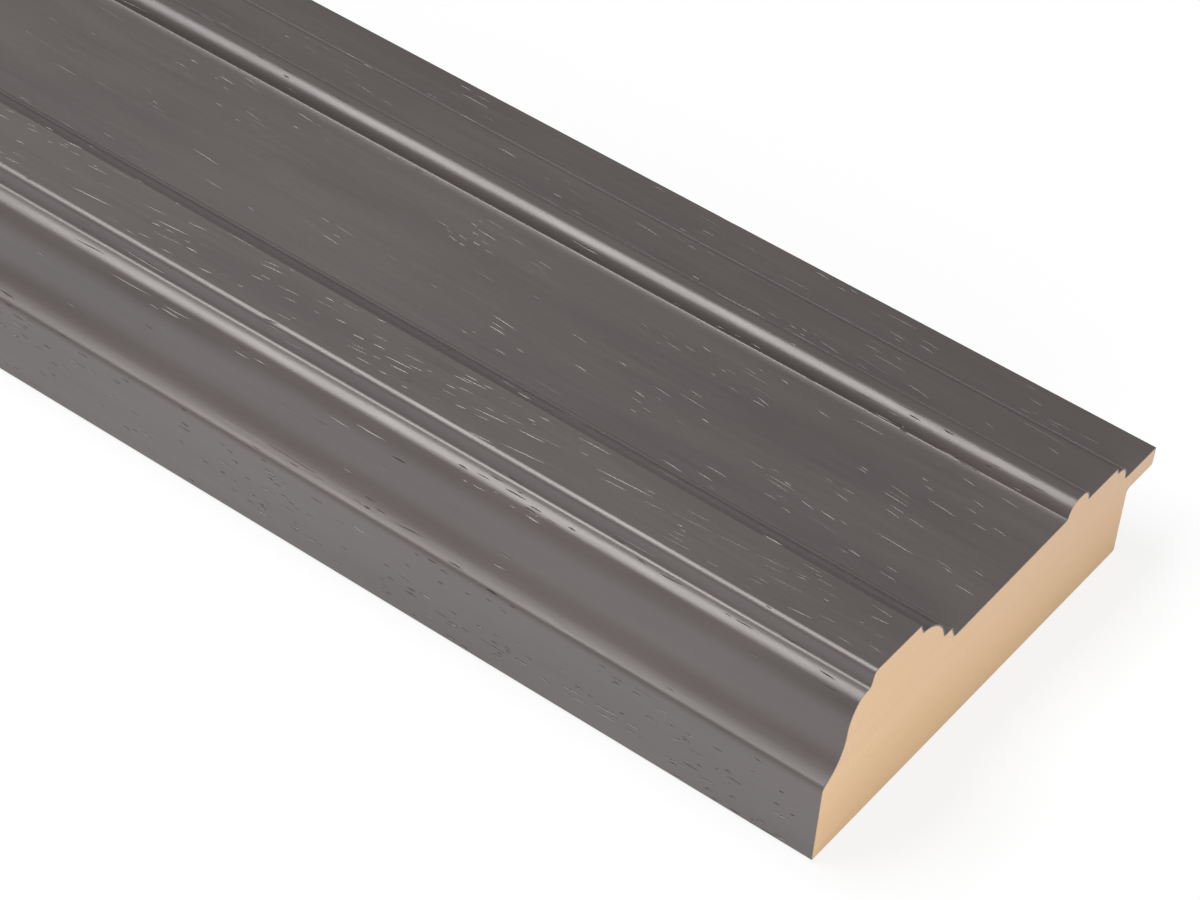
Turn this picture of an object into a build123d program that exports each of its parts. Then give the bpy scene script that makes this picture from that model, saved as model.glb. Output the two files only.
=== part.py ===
from build123d import *
import os
from math import acos, asin, cos, degrees, radians, sin, tan

# Picture frame moulding: one stick of timber run to a section and cut square at both ends.
# It lies on its back with its face up. X runs along the stick, Y across it from the outer face
# to the sight edge, and Z up from the back. The origin is under the middle of the stick.
# Sizes are millimetres and angles are degrees.

# Stick
stick_length = 1219.2
face_width = 76.2

# Rabbet in the back, which takes the glass, the picture and the backing board
rabbet_width = 6.35
rabbet_depth = 11.1
rabbet_corner_radius = 0.8

# Lip that covers the edge of the glass
lip_thickness = 3.05
lip_top_width = 7.75
lip_fill_radius = 0.55

# Sight edge: a short upright and a quarter round, then a small step up to a flat
sight_upright = 0.7
sight_round_radius = 2.0
sight_quirk_width = 0.35
sight_riser = 1.1
sight_flat_width = 7.1

# Bead between the flat and the panel: a short upright and a round, then a broader shoulder and a short riser
bead_upright = 0.15
bead_round_radius = 1.9
bead_top_width = 1.0
bead_shoulder_radius = 2.2
bead_riser = 0.45

# Panel, a little lower than the flat: it falls towards the outer side and sweeps up to the bead
panel_set_down = 0.13
panel_fall = 0.5
panel_sweep_radius = 5.0
panel_sweep_angle = 12.0

# Step from the panel up to the crest: a fillet, then an ovolo flatter than a quarter round
fillet_riser = 2.18
fillet_width = 1.75
ovolo_rise = 5.1
ovolo_radius = 6.5
ovolo_tilt = 8.0
ovolo_quirk_width = 0.2
crest_riser = 1.8

# Crest
crest_width = 9.85

# Outer ogee: a narrow flat under the crest, a tight shoulder, a longer round, then a cove to the outer face
ogee_riser = 2.35
ogee_flat_width = 0.6
ogee_shoulder_radius = 2.4
ogee_shoulder_sweep = 48.0
ogee_round_radius = 6.3
ogee_cove_radius = 7.0
ogee_set_in = 3.9

# Draft of the risers that face the outer side and of those that face the sight edge
outer_draft = 15.0
sight_draft = 25.0

# Eased arrises, and the inside corners that the paint has filled
face_arris_radius = 0.25
crest_arris_radius = 0.9
outer_arris_radius = 1.2
sight_arris_radius = 0.12
back_arris_radius = 0.4
paint_fill_radius = 0.35

# Levels above the back
lip_level = rabbet_depth + lip_thickness
sight_round_level = lip_level + sight_upright
sight_step_level = sight_round_level + sight_round_radius
sight_level = sight_step_level + sight_riser
bead_level = sight_level + bead_upright + bead_round_radius
panel_level = sight_level - panel_set_down
bead_riser_level = panel_level + bead_riser
panel_outer_level = panel_level - panel_fall
fillet_level = panel_outer_level + fillet_riser
ovolo_level = fillet_level + ovolo_rise
crest_level = ovolo_level + crest_riser
ogee_level = crest_level - ogee_riser


def lean(rise, draft):
    """How far a riser of this height and draft leans over."""
    return rise * tan(radians(draft))


def from_upright(length, tilt):
    """The step of this length, tilted from straight up towards the sight edge."""
    return length * Vector(sin(radians(tilt)), cos(radians(tilt)))


def moulding_section():
    """The section in its own plane: across from the outer face, and up from the back."""
    # Outer side, from the outer face in to the panel
    ogee_step = from_upright(ogee_round_radius - ogee_shoulder_radius, -ogee_shoulder_sweep)
    ogee_shoulder_centre = Vector(
        ogee_set_in + ogee_round_radius + ogee_step.X,
        ogee_level - ogee_shoulder_radius,
    )
    ogee_round_centre = ogee_shoulder_centre - ogee_step
    cove_centre = Vector(ogee_set_in - ogee_cove_radius, ogee_round_centre.Y)
    cove_sweep = degrees(acos(1 - ogee_set_in / ogee_cove_radius))
    ogee_foot = ogee_shoulder_centre.X + ogee_flat_width
    crest_outer = ogee_foot + lean(ogee_riser, outer_draft)
    crest_inner = crest_outer + crest_width
    ovolo_quirk = crest_inner + lean(crest_riser, sight_draft)
    ovolo_start = Vector(ovolo_quirk + ovolo_quirk_width, ovolo_level)
    ovolo_centre = ovolo_start - from_upright(ovolo_radius, ovolo_tilt)
    ovolo_foot_angle = degrees(asin((fillet_level - ovolo_centre.Y) / ovolo_radius))
    fillet_edge = ovolo_centre.X + ovolo_radius * cos(radians(ovolo_foot_angle)) + fillet_width
    panel_outer = fillet_edge + lean(fillet_riser, sight_draft)

    # Sight side, from the sight edge out to the panel
    rabbet_wall = face_width - rabbet_width
    lip_foot = Vector(face_width - lip_top_width, lip_level)
    sight_round_start = lip_foot.X - sight_round_radius
    sight_quirk = sight_round_start - sight_quirk_width
    sight_flat_edge = sight_quirk - lean(sight_riser, sight_draft)
    bead_foot = sight_flat_edge - sight_flat_width
    bead_centre = Vector(bead_foot - bead_round_radius, bead_level - bead_round_radius)
    shoulder_centre = Vector(bead_centre.X - bead_top_width, bead_level - bead_shoulder_radius)
    shoulder_sweep = degrees(acos((bead_riser_level - shoulder_centre.Y) / bead_shoulder_radius))
    bead_riser_edge = shoulder_centre.X - bead_shoulder_radius * sin(radians(shoulder_sweep))
    panel_sweep_rise = panel_sweep_radius * (1 - cos(radians(panel_sweep_angle)))
    panel_sweep_width = panel_sweep_radius * sin(radians(panel_sweep_angle))
    panel_inner = bead_riser_edge - lean(bead_riser - panel_sweep_rise, outer_draft) - panel_sweep_width

    with BuildSketch() as section:
        with BuildLine():
            cove = CenterArc(cove_centre, ogee_cove_radius, -cove_sweep, cove_sweep)
            ogee_round = CenterArc(ogee_round_centre, ogee_round_radius, 180, ogee_shoulder_sweep - 90)
            ogee_shoulder = CenterArc(
                ogee_shoulder_centre, ogee_shoulder_radius, 90 + ogee_shoulder_sweep, -ogee_shoulder_sweep
            )
            ovolo = CenterArc(
                ovolo_centre, ovolo_radius, 90 - ovolo_tilt, ovolo_foot_angle + ovolo_tilt - 90
            )
            panel_sweep = CenterArc(
                (panel_inner, panel_level + panel_sweep_radius), panel_sweep_radius, -90, panel_sweep_angle
            )
            shoulder = CenterArc(shoulder_centre, bead_shoulder_radius, 90 + shoulder_sweep, -shoulder_sweep)
            bead_round = CenterArc(bead_centre, bead_round_radius, 90, -90)
            sight_round = CenterArc((sight_round_start, sight_round_level), sight_round_radius, 90, -90)
            Polyline(
                ogee_shoulder @ 1,
                (ogee_foot, ogee_level),
                (crest_outer, crest_level),
                (crest_inner, crest_level),
                (ovolo_quirk, ovolo_level),
                ovolo @ 0,
            )
            Polyline(
                ovolo @ 1,
                (fillet_edge, fillet_level),
                (panel_outer, panel_outer_level),
                panel_sweep @ 0,
            )
            Line(panel_sweep @ 1, shoulder @ 0)
            Line(shoulder @ 1, bead_round @ 0)
            Polyline(
                bead_round @ 1,
                (bead_foot, sight_level),
                (sight_flat_edge, sight_level),
                (sight_quirk, sight_step_level),
                sight_round @ 0,
            )
            Polyline(
                sight_round @ 1,
                lip_foot,
                (face_width, lip_level),
                (face_width, rabbet_depth),
                (rabbet_wall, rabbet_depth),
                (rabbet_wall, 0),
                (0, 0),
                cove @ 0,
            )
        make_face()
        eased_corners = [
            (cove @ 0, outer_arris_radius),
            ((ogee_foot, ogee_level), ogee_flat_width),
            ((crest_outer, crest_level), crest_arris_radius),
            ((crest_inner, crest_level), face_arris_radius),
            ((ovolo_quirk, ovolo_level), min(paint_fill_radius, ovolo_quirk_width)),
            (ovolo @ 1, paint_fill_radius),
            ((fillet_edge, fillet_level), face_arris_radius),
            ((panel_outer, panel_outer_level), paint_fill_radius),
            (panel_sweep @ 1, bead_riser / 2),
            ((bead_foot, sight_level), bead_upright / 2),
            ((sight_flat_edge, sight_level), sight_arris_radius),
            ((sight_quirk, sight_step_level), min(paint_fill_radius, sight_quirk_width)),
            (lip_foot, lip_fill_radius),
            ((face_width, lip_level), sight_arris_radius),
            ((face_width, rabbet_depth), back_arris_radius),
            ((rabbet_wall, rabbet_depth), rabbet_corner_radius),
            ((rabbet_wall, 0), back_arris_radius),
            ((0, 0), back_arris_radius),
        ]
        for corner, radius in eased_corners:
            fillet(section.vertices().sort_by_distance(corner)[0], radius)
    return section.sketch


def moulding():
    """The stick: the section run along X, centred on its length and on its width."""
    section = Plane.YZ * Pos(-face_width / 2, 0) * moulding_section()
    return extrude(section, stick_length / 2, both=True)


stick = moulding()
os.makedirs("parts", exist_ok=True)
export_step(stick, "parts/moulding.step")
print(f"face {face_width} mm wide, {crest_level:.2f} mm high at the crest, {stick_length} mm long")
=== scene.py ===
import bpy
import math
import random
from bisect import bisect_right
from collections import namedtuple
from itertools import groupby
from mathutils import Matrix, Vector
from mathutils.geometry import delaunay_2d_cdt, intersect_line_line_2d


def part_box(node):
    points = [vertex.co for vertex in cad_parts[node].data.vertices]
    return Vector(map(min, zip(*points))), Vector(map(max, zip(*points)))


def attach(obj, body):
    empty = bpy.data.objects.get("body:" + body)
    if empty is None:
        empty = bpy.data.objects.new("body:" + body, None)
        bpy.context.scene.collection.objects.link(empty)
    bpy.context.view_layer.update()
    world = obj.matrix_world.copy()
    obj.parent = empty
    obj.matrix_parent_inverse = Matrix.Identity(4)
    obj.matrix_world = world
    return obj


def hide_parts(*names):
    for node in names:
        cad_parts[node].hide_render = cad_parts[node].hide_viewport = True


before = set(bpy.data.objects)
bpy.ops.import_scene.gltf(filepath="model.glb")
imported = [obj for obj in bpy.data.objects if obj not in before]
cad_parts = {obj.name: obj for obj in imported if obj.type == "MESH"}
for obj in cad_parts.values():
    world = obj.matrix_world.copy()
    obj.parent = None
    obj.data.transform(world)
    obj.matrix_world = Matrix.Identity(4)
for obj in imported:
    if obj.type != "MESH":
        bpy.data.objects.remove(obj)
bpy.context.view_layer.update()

# Picture frame moulding: a stick of timber with a painted face, cut square and left bare at its ends.
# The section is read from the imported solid. The open grain that shows through the paint is cut into
# the surface as small grooves. Lengths are millimetres until they reach Blender, which takes metres.
METRE = 1000.0
SQUARE_CENTIMETRE = 100.0
low, high = (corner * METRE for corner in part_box("moulding"))
half_length = high.x
dice = random.Random(7)

# Camera, which stands over the near end
camera_place = Vector((753.13, -308.18, 351.21))
camera_aim = Vector((547.0, 2.52, 0.0))
camera_roll = 5.18
camera_lens = 115.37
camera_sensor = 36.0
camera_clip = (10.0, 200000.0)

# Surface of the stick: it is made in stretches. A point of the section that lies less than a least step past
# the last is left out, unless a long side follows it. Places that agree to so many decimals are one.
stretches = 12
stretch_length = 2 * half_length / stretches
least_step = 0.07
long_side = 0.3
decimals = 4
tolerance = 1e-6

# Kinds of surface, and the paint film that shows round the cut ends
PAINT, BARE, END_GRAIN = range(3)
film_thickness = 0.22

# The surface's map has its stretches in rows, with the two ends above them
map_rows = 2
map_gap = 3.0

# Open grain: slim grooves that run with the stick, alone or in clusters
groove_margin = 0.03
groove_stations = (-1.0, -0.6, 0.0, 0.6, 1.0)
groove_length_least = 0.9
groove_length_most = 9.0
groove_slope_spread = 0.025
cluster_length = 9.0
cluster_width = 2.2
cluster_sizes = (0.5, 1.3)
cluster_grooves = (3, 9)

# Each surface's grain: clusters and single grooves in a square centimetre, how much longer than the least
# they are on average, their width and steepness, and how they slant across the stick
Grain = namedtuple("Grain", "clusters singles lengthening width steepness slant")
flat_width_least = 4.0
lip_grain = Grain(0.4, 1.4, 2.0, (0.16, 0.34), (0.08, 0.26), 0.04)
sight_flat_grain = Grain(0.45, 1.6, 2.0, (0.16, 0.34), (0.08, 0.25), 0.05)
panel_grain = Grain(0.42, 1.3, 1.3, (0.12, 0.28), (0.08, 0.30), 0.06)
crest_grain = Grain(1.3, 3.0, 2.2, (0.10, 0.24), (0.22, 1.0), -0.085)
outer_face_grain = Grain(0.8, 2.6, 0.8, (0.16, 0.34), (1.0, 2.0), 0.0)
curve_grain = Grain(0.15, 1.0, 1.6, (0.12, 0.26), (0.5, 1.4), 0.0)
back_grain = Grain(0.10, 0.5, 2.0, (0.10, 0.25), (0.5, 1.5), 0.0)

# Clusters that show near the cut end: each one's grain, how far it is from the end, its girth up from the
# outer face's foot, its length and width, and how many grooves are tried in it
near_clusters = [
    (outer_face_grain, 20.0, 5.0, 16.0, 6.0, 14),
    (outer_face_grain, 47.0, 5.0, 6.0, 2.5, 10),
    (outer_face_grain, 100.0, 4.0, 30.0, 7.0, 24),
    (curve_grain, 75.0, 13.2, 12.0, 1.0, 10),
    (curve_grain, 105.0, 23.8, 18.0, 1.2, 18),
    (curve_grain, 55.0, 25.2, 10.0, 1.4, 12),
    (crest_grain, 112.0, 34.0, 6.0, 4.5, 18),
    (crest_grain, 96.0, 35.5, 8.0, 3.5, 16),
    (crest_grain, 76.0, 34.0, 9.0, 4.0, 26),
    (crest_grain, 58.0, 34.5, 8.0, 3.5, 18),
    (crest_grain, 14.0, 35.0, 12.0, 3.0, 14),
    (panel_grain, 78.0, 60.5, 8.0, 3.0, 8),
    (panel_grain, 52.0, 62.0, 7.0, 5.0, 10),
    (panel_grain, 48.0, 73.0, 9.0, 4.0, 12),
    (panel_grain, 88.0, 71.5, 9.0, 5.0, 8),
    (panel_grain, 30.0, 58.6, 1.5, 1.0, 4),
    (panel_grain, 25.0, 70.0, 1.2, 0.8, 3),
    (panel_grain, 15.0, 73.5, 8.0, 2.0, 5),
    (curve_grain, 30.0, 79.2, 50.0, 0.4, 18),
    (curve_grain, 18.0, 81.2, 26.0, 1.2, 16),
    (sight_flat_grain, 50.0, 88.0, 14.0, 2.0, 10),
    (lip_grain, 65.0, 102.5, 16.0, 1.5, 12),
    (lip_grain, 26.0, 102.0, 16.0, 3.0, 8),
]

# Single grooves that show near the cut end, by surface: how far from the end each starts and at what girth
# up from the outer face's foot, then the same for where it stops. They are steeper than most of their grain.
mark_share = 0.75
near_marks = {
    outer_face_grain: [
        (42.0, 3.0, 39.8, 3.1), (37.8, 3.1, 33.9, 3.0), (33.4, 3.1, 29.5, 3.1), (28.5, 3.1, 25.6, 3.2),
        (38.5, 4.0, 34.9, 4.0), (33.7, 4.2, 29.0, 4.3), (28.6, 4.2, 25.8, 4.3), (22.6, 2.5, 18.8, 2.5),
        (17.2, 2.4, 14.4, 2.6), (19.7, 8.4, 18.2, 8.4), (22.6, 8.1, 21.2, 8.3), (6.6, 4.0, 3.2, 4.3),
    ],
    curve_grain: [
        (33.8, 26.6, 32.2, 26.3), (30.2, 26.2, 26.6, 26.4), (20.2, 26.0, 19.3, 26.0),
        (18.8, 26.0, 16.0, 26.0), (15.2, 23.4, 13.8, 23.4), (6.4, 25.8, 3.8, 25.7), (5.0, 24.6, 2.6, 24.6),
    ],
    crest_grain: [
        (38.4, 34.3, 34.4, 34.7), (34.2, 35.0, 28.0, 35.5), (27.8, 35.5, 22.6, 35.9),
        (22.4, 35.9, 17.2, 36.4), (17.0, 36.5, 14.5, 36.7), (19.0, 33.9, 13.6, 34.3),
        (14.0, 33.8, 4.4, 33.6), (32.4, 31.0, 28.2, 31.2), (32.4, 31.8, 29.4, 31.8),
        (32.3, 32.5, 30.1, 32.6), (31.7, 33.3, 30.5, 33.4), (26.0, 31.0, 24.0, 31.1),
        (20.6, 32.1, 18.3, 32.2), (20.0, 32.8, 18.0, 32.9), (17.0, 38.3, 14.1, 38.4),
        (14.6, 37.3, 11.4, 37.5), (7.2, 31.1, 4.3, 31.0), (6.6, 38.1, 3.2, 37.9), (3.0, 32.4, 1.0, 32.2),
    ],
    panel_grain: [
        (43.2, 71.9, 40.6, 71.4), (42.5, 76.6, 41.0, 76.4), (40.8, 55.7, 38.2, 55.6),
        (40.8, 57.4, 37.0, 57.3), (35.6, 74.9, 33.4, 74.7), (31.2, 76.6, 26.0, 76.6),
        (27.8, 60.1, 25.4, 59.7), (25.2, 64.0, 23.0, 63.7), (21.0, 68.1, 16.5, 67.8),
        (18.9, 65.8, 16.2, 65.4), (18.9, 66.7, 16.3, 66.5), (17.5, 61.5, 11.2, 61.3),
        (16.1, 66.3, 12.8, 66.0), (15.5, 70.6, 10.8, 70.2), (14.3, 76.7, 12.0, 76.4),
        (11.0, 74.2, 9.2, 73.9), (9.0, 70.8, 6.8, 70.7), (8.7, 76.9, 5.8, 76.7), (7.5, 61.9, 5.9, 61.7),
        (6.6, 71.8, 4.4, 71.5), (4.9, 60.4, 1.6, 60.3),
    ],
    sight_flat_grain: [
        (43.0, 88.2, 39.4, 87.8), (38.0, 91.6, 35.2, 91.6), (36.4, 90.7, 30.4, 90.6),
        (29.8, 88.9, 25.6, 88.4), (17.8, 89.4, 16.2, 89.2), (9.2, 90.8, 7.0, 90.6),
    ],
    lip_grain: [
        (41.5, 104.7, 36.4, 104.7), (39.2, 102.0, 36.2, 101.8), (35.2, 103.5, 31.8, 103.2),
        (17.8, 103.2, 15.4, 103.0), (17.6, 100.8, 15.8, 100.8), (14.0, 101.3, 9.6, 101.6),
        (9.4, 101.7, 6.0, 101.8), (5.6, 99.7, 2.6, 99.6),
    ],
}

# Paint and timber, in linear colour
paint_dark = (0.062, 0.0535, 0.052)
paint_light = (0.082, 0.0715, 0.0695)
timber_pale = (0.69, 0.485, 0.30)
timber_deep = (0.58, 0.395, 0.23)
# Painted shade for the end grain's sight side: darker and greyer than the pale timber
shaded_timber_grey = (0.58, 0.41, 0.275)
# Painted shade for the end grain by the back: darker and warmer than the pale timber
shaded_timber_warm = (0.60, 0.41, 0.21)

# The end grain has painted shade by the back, darker and warmer, by this share there and by nothing at this
# height
back_shade_share = 0.55
back_shade_height = 14.0

# Floor: its colour, the share of it that shows as plain white, its reach and its gap under the stick
floor_colour = (0.86, 0.88, 0.90)
floor_white = 0.84
floor_reach = 30000.0
floor_gap = 0.2

# A soft box over the stick, which draws the bright lines along its rounds, and a fill for the cut end. Each
# stands in a direction from the near end, with its width along another. The world adds an even, dim light.
Lamp = namedtuple("Lamp", "name direction distance along size power")
overhead = Lamp("overhead", (-0.46, -0.12, 0.88), 1100.0, (0.05, 1.0, 0.0), (1000.0, 500.0), 13.7)
fill = Lamp("fill", (0.68, -0.72, 0.22), 1600.0, (0.72, 0.68, 0.0), (1200.0, 800.0), 25.0)
lamp_colour = (1.0, 0.965, 0.95)
white = (1.0, 1.0, 1.0)
world_strength = 0.16


def end_outline(node):
    """The outline of the +X end as (across, up) points, from the back's outer edge on across the back."""
    mesh = node.data
    end = max(vertex.co.x for vertex in mesh.vertices)
    following = {}
    for face in mesh.polygons:
        corners = [mesh.vertices[i].co for i in face.vertices]
        if min(corner.x for corner in corners) < end - tolerance:
            continue
        points = [tuple(round(value * METRE, decimals) for value in corner.yz) for corner in corners]
        for a, b in zip(points, points[1:] + points[:1]):
            following.setdefault(a, set()).add(b)
    rim = {a: [b for b in after if a not in following.get(b, ())] for a, after in following.items()}
    base = min(up for across, up in rim)
    start = min(point for point in rim if point[1] == base)
    loop = [start]
    while rim[loop[-1]][0] != start:
        loop.append(rim[loop[-1]][0])
    return [Vector(point) for point in loop]


def outward(a, b):
    """The outward normal of the outline's side from a to b, as long as the side."""
    return Vector((b.y - a.y, a.x - b.x))


class Run:
    """A stretch of the section's outline, laid out flat along its girth."""

    def __init__(self, loop, first, last):
        count = len(loop)
        self.points, self.normals, self.girth = [], [], []
        for i in range(first, last + 1):
            point = loop[i % count]
            sides = outward(loop[(i - 1) % count], point), outward(point, loop[(i + 1) % count])
            near = self.points and (point - self.points[-1]).length < least_step
            if near and i < last and sides[1].length < long_side:
                continue
            self.girth.append(self.girth[-1] + (point - self.points[-1]).length if self.points else 0.0)
            self.points.append(point)
            self.normals.append((sides[0] + sides[1]).normalized())

    def lane(self, s):
        """The lane that holds girth s, and how far across it s lies from 0 to 1."""
        lane = min(max(bisect_right(self.girth, s) - 1, 0), len(self.girth) - 2)
        return lane, (s - self.girth[lane]) / (self.girth[lane + 1] - self.girth[lane])

    def normal(self, s):
        lane, part = self.lane(s)
        return self.normals[lane].lerp(self.normals[lane + 1], part).normalized()

    def place(self, x, s, depth=0.0):
        """The point x along the stick and s round the run, that far under the surface."""
        lane, part = self.lane(s)
        point = self.points[lane].lerp(self.points[lane + 1], part) - self.normal(s) * depth
        return Vector((x, point.x, point.y))


class Groove:
    """A slim V-shaped groove with pointed ends, from one place on a run to another."""

    def __init__(self, start, end, width, steepness):
        self.x, self.s = (start + end) / 2
        along, across = end - start
        self.reach = along / 2
        self.slope = across / along
        self.half_width = width / 2
        self.depth = self.half_width * steepness
        self.side = self.half_width + self.reach * abs(self.slope) + groove_margin

    def clear_of(self, other):
        """Whether the two lie apart, along the stick or across it."""
        apart_x = abs(self.x - other.x) > self.reach + other.reach + groove_margin
        return apart_x or abs(self.s - other.s) > self.side + other.side

    def swell(self, station):
        """How full the groove is at a station from -1 to 1."""
        after = min(max(bisect_right(groove_stations, station), 1), len(groove_stations) - 1)
        a, b = groove_stations[after - 1], groove_stations[after]
        part = (station - a) / (b - a)
        return (1 - a * a) * (1 - part) + (1 - b * b) * part

    def at(self, station, side):
        """A place on the rim, on the side -1 or 1, or on the bottom, where side is 0."""
        along = self.reach * station
        return self.x + along, self.s + self.slope * along + side * self.half_width * self.swell(station)

    def under(self, x, s):
        """How far the groove goes under the surface there."""
        along = x - self.x
        swell = self.swell(along / self.reach)
        off = abs(s - self.s - self.slope * along)
        return max(0.0, self.depth * (swell - off / self.half_width))


def random_groove(x, s, grain):
    """A groove of that grain with its middle at x and s."""
    length = min(groove_length_least + dice.expovariate(1 / grain.lengthening), groove_length_most)
    half = Vector((1.0, dice.gauss(grain.slant, groove_slope_spread))) * length / 2
    middle = Vector((x, s))
    return Groove(middle - half, middle + half, dice.uniform(*grain.width), dice.uniform(*grain.steepness))


def flats(run):
    """The stretches of girth over which the run is flat."""
    return [pair for pair in zip(run.girth, run.girth[1:]) if pair[1] - pair[0] > flat_width_least]


def grounds(run, flat_grains):
    """The run as (from, to, grain) along its girth: its flats, in the order given, and what lies between."""
    found, last = [], 0.0
    for (first, end), grain in zip(flats(run), flat_grains):
        found += [(last, first, curve_grain), (first, end, grain)]
        last = end
    return found + [(last, run.girth[-1], curve_grain)]


def random_clusters(run_grounds):
    """Clusters and single grooves at random places, as (grain, x, s, length, width, grooves)."""
    found = []
    for first, last, grain in run_grounds:
        area = (last - first) * 2 * half_length / SQUARE_CENTIMETRE
        for _ in range(round(area * grain.clusters)):
            x, s = dice.uniform(-half_length, half_length), dice.uniform(first, last)
            size = dice.uniform(*cluster_sizes)
            grooves = dice.randint(*cluster_grooves)
            found.append((grain, x, s, size * cluster_length, size * cluster_width, grooves))
        for _ in range(round(area * grain.singles)):
            x, s = dice.uniform(-half_length, half_length), dice.uniform(first, last)
            found.append((grain, x, s, 0.0, 0.0, 1))
    return found


def stretch_start(stretch):
    """Where along the stick a stretch starts."""
    return -half_length + stretch * stretch_length


def grooves_for(run, clusters, first_grooves=()):
    """Open grain for a whole run, listed by stretch of the stick: only grooves clear of the earlier ones."""
    found = [[] for _ in range(stretches)]

    def add(groove):
        stretch = int((groove.x + half_length) // stretch_length)
        if not 0 <= stretch < stretches:
            return
        start = stretch_start(stretch) + groove_margin
        end = start + stretch_length - 2 * groove_margin
        inside = start < groove.x - groove.reach and groove.x + groove.reach < end
        inside = inside and groove.side < groove.s < run.girth[-1] - groove.side
        if inside and all(groove.clear_of(other) for other in found[stretch]):
            found[stretch].append(groove)

    for groove in first_grooves:
        add(groove)
    for grain, x, s, length, width, count in clusters:
        for _ in range(count):
            add(random_groove(dice.gauss(x, length / 2), dice.gauss(s, width / 2), grain))
    return found


def mark_grooves(foot):
    """The single grooves that show near the cut end."""
    found = []
    for grain, marks in near_marks.items():
        width = sum(grain.width) / 2
        least, most = grain.steepness
        steepness = least + mark_share * (most - least)
        for from_end, girth, to_end, to_girth in marks:
            start = Vector((half_length - from_end, foot - girth))
            end = Vector((half_length - to_end, foot - to_girth))
            found.append(Groove(start, end, width, steepness))
    return found


class FlatMap:
    """Where the surface goes on its map."""

    def __init__(self, row_girth):
        self.row_height = row_girth + 2 * map_gap
        self.width = 2 * half_length / map_rows + 2 * map_gap
        self.height = map_rows * self.row_height + high.z + 2 * map_gap

    def for_stretch(self, stretch, offset):
        """Where a place on one stretch of a run goes, with the run that far up its row."""
        per_row = stretches // map_rows
        row = stretch // per_row
        left = stretch_start(row * per_row) - map_gap
        base = row * self.row_height + offset + map_gap
        return lambda x, s: ((x - left) / self.width, (base + s) / self.height)

    def for_end(self, side):
        """Where a place on a cut end goes."""
        left = map_gap if side < 0 else self.width / 2
        base = map_rows * self.row_height + map_gap
        return lambda place: ((left + place.y - low.y) / self.width, (base + place.z) / self.height)


class Skin:
    """The mesh in the making: shared vertices, and faces with a normal and a map place for each corner."""

    def __init__(self):
        self.vertices, self.index = [], {}
        self.faces, self.normals, self.maps, self.kinds = [], [], [], []

    def vertex(self, place):
        key = tuple(round(value, decimals) for value in place)
        if key not in self.index:
            self.index[key] = len(self.vertices)
            self.vertices.append(place / METRE)
        return self.index[key]

    def face(self, places, normals, maps, kind):
        corners = [self.vertex(place) for place in places]
        if len(set(corners)) == len(corners):
            self.faces.append(corners)
            self.normals.extend(normals)
            self.maps.extend(maps)
            self.kinds.append(kind)

    def mesh(self, name):
        mesh = bpy.data.meshes.new(name)
        mesh.from_pydata(self.vertices, [], self.faces)
        mesh.polygons.foreach_set("material_index", self.kinds)
        mesh.polygons.foreach_set("use_smooth", [True] * len(self.faces))
        layer = mesh.uv_layers.new(name="OFBake")
        layer.uv.foreach_set("vector", [value for place in self.maps for value in place])
        mesh.normals_split_custom_set(self.normals)
        mesh.validate()
        return mesh


def cover(skin, run, start, end, grooves, kind, map_place):
    """Adds the run's surface from start to end along the stick, with its grooves."""
    flat, edges, mouths = [], [], []

    def point(x, s):
        flat.append(Vector((x, s)))
        return len(flat) - 1

    columns = [[point(x, s) for s in run.girth] for x in (start, end)]
    edges.extend(zip(*columns))
    for column in columns:
        edges.extend(zip(column, column[1:]))
    for groove in grooves:
        spine = [point(*groove.at(station, 0)) for station in groove_stations]
        near, far = ([point(*groove.at(u, side)) for u in groove_stations[1:-1]] for side in (-1, 1))
        edges.extend(zip(spine, spine[1:]))
        mouths.append([spine[0], *near, spine[-1], *reversed(far)])
    laid, _, faces, _, _, owners = delaunay_2d_cdt(flat, edges, mouths, 0, tolerance)
    at_surface = {i for face, owner in zip(faces, owners) if not owner for i in face}
    for face, owner in zip(faces, owners):
        corners = face[::-1]
        spots = [laid[i] for i in corners]
        depths = [0.0 if i in at_surface else grooves[owner[0]].under(*laid[i]) for i in corners]
        places = [run.place(*spot, depth) for spot, depth in zip(spots, depths)]
        if owner:
            normals = [(places[1] - places[0]).cross(places[2] - places[0]).normalized()] * 3
        else:
            normals = [Vector((0.0, *run.normal(spot.y))) for spot in spots]
        skin.face(places, normals, [map_place(*spot) for spot in spots], kind)


def film_edge(run):
    """The inner edge of the paint film: the run moved in, with sides that turn over drawn to a corner."""
    inner = [point - normal * film_thickness for point, normal in zip(run.points, run.normals)]
    inner[0], inner[-1] = run.points[0], run.points[-1]
    sides = zip(run.points, run.points[1:], inner, inner[1:])
    turned = [(b - a).dot(d - c) <= 0 for a, b, c, d in sides]
    first = 0
    for is_turned, group in groupby(turned):
        last = first + len(list(group))
        if is_turned:
            corner = intersect_line_line_2d(inner[first - 1], inner[first], inner[last], inner[last + 1])
            inner[first:last + 1] = [corner] * (last + 1 - first)
        first = last
    return inner


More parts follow.
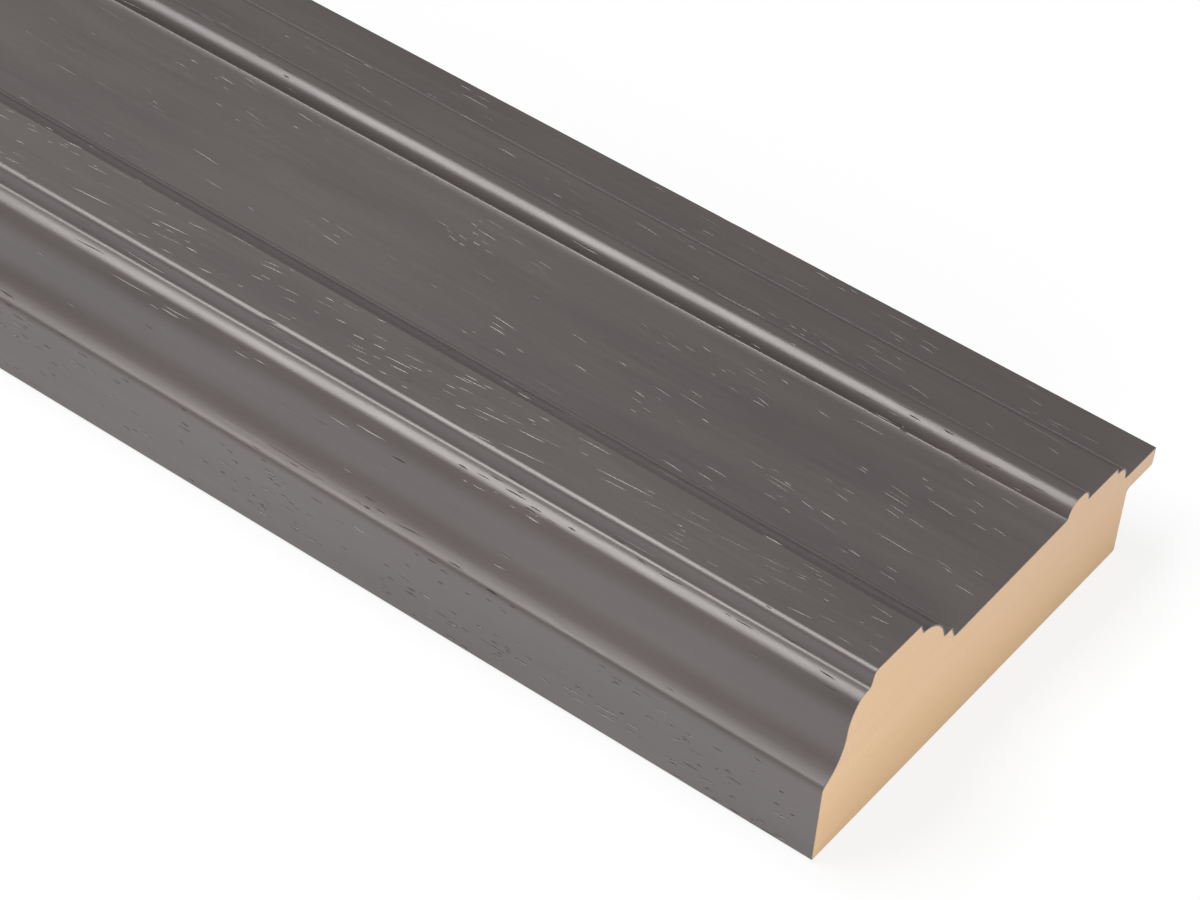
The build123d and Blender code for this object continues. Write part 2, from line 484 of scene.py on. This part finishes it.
def close_end(skin, face_run, bare_run, x, map_place):
    """Adds the cut end at x: the edge of the paint film, and the timber inside it."""
    facing = Vector((math.copysign(1.0, x), 0.0, 0.0))
    outside = face_run.points
    inside = film_edge(face_run)

    def add(points, kind):
        places = [Vector((x, *point)) for point in points]
        if (places[1] - places[0]).cross(places[2] - places[0]).x * facing.x < 0:
            places.reverse()
        skin.face(places, [facing] * 3, [map_place(place) for place in places], kind)

    for i in range(len(outside) - 1):
        add([outside[i], inside[i], inside[i + 1]], PAINT)
        add([outside[i], inside[i + 1], outside[i + 1]], PAINT)
    rim = inside + bare_run.points[1:-1]
    rim = [point for point, after in zip(rim, rim[1:] + rim[:1]) if point != after]
    laid, _, faces, _, _, _ = delaunay_2d_cdt(rim, [], [list(range(len(rim)))], 1, tolerance)
    for face in faces:
        add([laid[i] for i in face], END_GRAIN)


def new_material(name):
    """A material with an empty node tree, and that tree."""
    material = bpy.data.materials.new(name)
    material.use_nodes = True
    tree = material.node_tree
    tree.nodes.clear()
    return material, tree


def add_node(tree, kind, **values):
    """A node with its properties and input values set by name."""
    node = tree.nodes.new(kind)
    for name, value in values.items():
        if name in node.inputs:
            node.inputs[name].default_value = value
        else:
            setattr(node, name, value)
    return node


def stretched_noise(tree, size, detail=3.0, roughness=0.55, distortion=0.0):
    """Noise whose patches are about size (along, across, up) in millimetres. Returns its value."""
    place = add_node(tree, "ShaderNodeTexCoord").outputs["Object"]
    mapping = add_node(tree, "ShaderNodeMapping", Scale=[METRE / length for length in size])
    noise = add_node(
        tree, "ShaderNodeTexNoise", Scale=1.0, Detail=detail, Roughness=roughness, Distortion=distortion
    )
    tree.links.new(place, mapping.inputs["Vector"])
    tree.links.new(mapping.outputs["Vector"], noise.inputs["Vector"])
    return noise.outputs["Fac"]


def mapped(tree, value, first, last, start=0.3, end=0.7):
    """What runs from first to last while the value runs from start to end."""
    node = add_node(tree, "ShaderNodeMapRange")
    for name, number in (("From Min", start), ("From Max", end), ("To Min", first), ("To Max", last)):
        node.inputs[name].default_value = number
    tree.links.new(value, node.inputs["Value"])
    return node.outputs["Result"]


def mixed_colour(tree, value, first, second):
    """The first colour where value is 0 and the second where it is 1; either may be a socket."""
    node = add_node(tree, "ShaderNodeMix", data_type="RGBA")
    sockets = [socket for socket in node.inputs if socket.type == "RGBA"]
    for socket, colour in zip(sockets, (first, second)):
        if isinstance(colour, tuple):
            socket.default_value = (*colour, 1.0)
        else:
            tree.links.new(colour, socket)
    tree.links.new(value, node.inputs["Factor"])
    return next(socket for socket in node.outputs if socket.type == "RGBA")


def bumped(tree, value, height, under=None):
    """A normal from value as a height in millimetres, over an earlier normal."""
    node = add_node(tree, "ShaderNodeBump", Strength=1.0, Distance=height / METRE)
    tree.links.new(value, node.inputs["Height"])
    if under is not None:
        tree.links.new(under, node.inputs["Normal"])
    return node.outputs["Normal"]


def finish_material(tree, colour, roughness, normal, **values):
    """Joins the colour, the roughness and the normal in the material's shader."""
    shader = add_node(tree, "ShaderNodeBsdfPrincipled", **values)
    output = add_node(tree, "ShaderNodeOutputMaterial")
    tree.links.new(colour, shader.inputs["Base Color"])
    tree.links.new(roughness, shader.inputs["Roughness"])
    tree.links.new(normal, shader.inputs["Normal"])
    tree.links.new(shader.outputs["BSDF"], output.inputs["Surface"])


def paint_material():
    """Satin charcoal paint, with the grain of the timber just telegraphing through it."""
    material, tree = new_material("charcoal_paint")
    streaks = stretched_noise(tree, (14.0, 0.7, 0.7), detail=4.0)
    clouds = stretched_noise(tree, (60.0, 9.0, 9.0), detail=2.0)
    peel = stretched_noise(tree, (0.9, 0.6, 0.6), detail=2.0)
    colour = mixed_colour(tree, mapped(tree, clouds, 0.0, 1.0), paint_dark, paint_light)
    normal = bumped(tree, streaks, height=0.012)
    normal = bumped(tree, peel, height=0.004, under=normal)
    roughness = mapped(tree, streaks, 0.36, 0.43)
    finish_material(tree, colour, roughness, normal, **{"Specular IOR Level": 0.9})
    return material


def bare_timber_material():
    """Planed timber with its grain along the stick."""
    material, tree = new_material("bare_timber")
    figure = stretched_noise(tree, (180.0, 4.5, 4.5), detail=5.0, distortion=0.4)
    fibre = stretched_noise(tree, (9.0, 0.25, 0.25), detail=3.0)
    colour = mixed_colour(tree, mapped(tree, figure, 0.0, 1.0), timber_pale, timber_deep)
    shade = mixed_colour(tree, mapped(tree, fibre, 0.0, 0.35), colour, timber_deep)
    normal = bumped(tree, fibre, height=0.03)
    roughness = mapped(tree, fibre, 0.6, 0.8)
    finish_material(tree, shade, roughness, normal)
    return material


def end_grain_material():
    """Sawn end grain: fine pores and faint rings, with painted shade that makes it darker and greyer towards
    the sight edge and darker and warmer by the back.
    """
    material, tree = new_material("end_grain")
    pores = stretched_noise(tree, (0.5, 0.35, 0.35), detail=3.0)
    rings = stretched_noise(tree, (60.0, 30.0, 3.5), detail=2.0, distortion=0.3)
    place = add_node(tree, "ShaderNodeSeparateXYZ")
    tree.links.new(add_node(tree, "ShaderNodeTexCoord").outputs["Object"], place.inputs["Vector"])
    # Painted shade: the end grain turns darker and greyer towards the sight edge
    painted_shade_to_sight = mapped(tree, place.outputs["Y"], 0.0, 1.0, low.y / METRE, high.y / METRE)
    # Painted shade: the end grain turns darker and warmer towards the back
    back_shade_top = low.z + back_shade_height
    painted_shade_by_back = mapped(tree, place.outputs["Z"], back_shade_share, 0.0, low.z / METRE, back_shade_top / METRE)
    colour = mixed_colour(tree, mapped(tree, rings, 0.0, 0.4), timber_pale, timber_deep)
    colour = mixed_colour(tree, mapped(tree, pores, 0.0, 0.25), colour, timber_deep)
    colour = mixed_colour(tree, painted_shade_to_sight, colour, shaded_timber_grey)
    colour = mixed_colour(tree, painted_shade_by_back, colour, shaded_timber_warm)
    normal = bumped(tree, pores, height=0.03)
    roughness = mapped(tree, pores, 0.7, 0.85)
    finish_material(tree, colour, roughness, normal)
    return material


def floor_material():
    """White floor: what the camera, a gloss or a glass sees is mostly plain white, the rest takes shadow."""
    material, tree = new_material("white_floor")
    path = add_node(tree, "ShaderNodeLightPath")
    seen = path.outputs["Is Camera Ray"]
    for name in ("Is Glossy Ray", "Is Transmission Ray"):
        either = add_node(tree, "ShaderNodeMath", operation="MAXIMUM")
        tree.links.new(seen, either.inputs[0])
        tree.links.new(path.outputs[name], either.inputs[1])
        seen = either.outputs[0]
    share = add_node(tree, "ShaderNodeMath", operation="MULTIPLY")
    share.inputs[1].default_value = floor_white
    tree.links.new(seen, share.inputs[0])
    plain = add_node(tree, "ShaderNodeEmission", Color=(*white, 1.0), Strength=1.0)
    lit = add_node(tree, "ShaderNodeBsdfDiffuse", Color=(*floor_colour, 1.0))
    blend = add_node(tree, "ShaderNodeMixShader")
    output = add_node(tree, "ShaderNodeOutputMaterial")
    tree.links.new(share.outputs[0], blend.inputs["Fac"])
    tree.links.new(lit.outputs["BSDF"], blend.inputs[1])
    tree.links.new(plain.outputs["Emission"], blend.inputs[2])
    tree.links.new(blend.outputs["Shader"], output.inputs["Surface"])
    return material


def soft_light(lamp, aim):
    """A soft box that faces aim."""
    data = bpy.data.lights.new(lamp.name, "AREA")
    data.shape = "RECTANGLE"
    data.size, data.size_y = (length / METRE for length in lamp.size)
    data.energy = lamp.power
    data.color = lamp_colour
    light = bpy.data.objects.new(lamp.name, data)
    back = Vector(lamp.direction).normalized()
    upward = back.cross(Vector(lamp.along)).normalized()
    turn = Matrix((upward.cross(back), upward, back)).transposed()
    light.matrix_world = Matrix.Translation((aim + back * lamp.distance) / METRE) @ turn.to_4x4()
    bpy.context.scene.collection.objects.link(light)


# The section's outline, as a bare run and a painted one that starts at the lower end of the sight edge
loop = end_outline(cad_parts["moulding"])
sight = max(point.x for point in loop)
lip_edge = min((i for i, point in enumerate(loop) if point.x == sight), key=lambda i: loop[i].y)
bare_run = Run(loop, 0, lip_edge)
face_run = Run(loop, lip_edge, len(loop))

# Open grain
face_grains = (lip_grain, sight_flat_grain, panel_grain, crest_grain, outer_face_grain)
foot = flats(face_run)[-1][1]
face_clusters = [
    (grain, half_length - from_end, foot - girth, length, width, count)
    for grain, from_end, girth, length, width, count in near_clusters
]
face_clusters += random_clusters(grounds(face_run, face_grains))
face_grooves = grooves_for(face_run, face_clusters, mark_grooves(foot))
back_clusters = random_clusters([(0.0, bare_run.girth[-1], back_grain)])
back_grooves = grooves_for(bare_run, back_clusters)

# The stick
skin = Skin()
flat_map = FlatMap(face_run.girth[-1] + bare_run.girth[-1])
for stretch in range(stretches):
    start, end = stretch_start(stretch), stretch_start(stretch + 1)
    face_map = flat_map.for_stretch(stretch, 0.0)
    cover(skin, face_run, start, end, face_grooves[stretch], PAINT, face_map)
    back_map = flat_map.for_stretch(stretch, face_run.girth[-1] + map_gap)
    cover(skin, bare_run, start, end, back_grooves[stretch], BARE, back_map)
for side in (-1, 1):
    close_end(skin, face_run, bare_run, side * half_length, flat_map.for_end(side))
moulding = bpy.data.objects.new("moulding_stick", skin.mesh("moulding_stick"))
bpy.context.scene.collection.objects.link(moulding)
for material in (paint_material(), bare_timber_material(), end_grain_material()):
    moulding.data.materials.append(material)
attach(moulding, "root")
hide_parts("moulding")

# Floor
floor_mesh = bpy.data.meshes.new("floor")
floor_corners = [Vector((x, y, 0)) * floor_reach / METRE for x, y in ((-1, -1), (1, -1), (1, 1), (-1, 1))]
floor_mesh.from_pydata(floor_corners, [], [(0, 1, 2, 3)])
floor = bpy.data.objects.new("floor", floor_mesh)
floor.location.z = (low.z - floor_gap) / METRE
floor.data.materials.append(floor_material())
bpy.context.scene.collection.objects.link(floor)

# Lamps
near_end = Vector((half_length, 0.0, high.z))
for lamp in (overhead, fill):
    soft_light(lamp, near_end)

# World
world = bpy.data.worlds.new("studio")
bpy.context.scene.world = world
world.use_nodes = True
sky = world.node_tree
sky.nodes.clear()
background = add_node(sky, "ShaderNodeBackground", Color=(*white, 1.0), Strength=world_strength)
sky_output = add_node(sky, "ShaderNodeOutputWorld")
sky.links.new(background.outputs["Background"], sky_output.inputs["Surface"])

# Camera
camera_data = bpy.data.cameras.new("camera")
camera_data.sensor_width = camera_sensor
camera_data.lens = camera_lens
camera_data.clip_start, camera_data.clip_end = (length / METRE for length in camera_clip)
camera = bpy.data.objects.new("camera", camera_data)
look = (camera_aim - camera_place).to_track_quat("-Z", "Y").to_matrix().to_4x4()
roll = Matrix.Rotation(math.radians(camera_roll), 4, "Z")
camera.matrix_world = Matrix.Translation(camera_place / METRE) @ look @ roll
bpy.context.scene.collection.objects.link(camera)
bpy.context.scene.camera = camera
bpy.context.scene.view_settings.view_transform = "Standard"
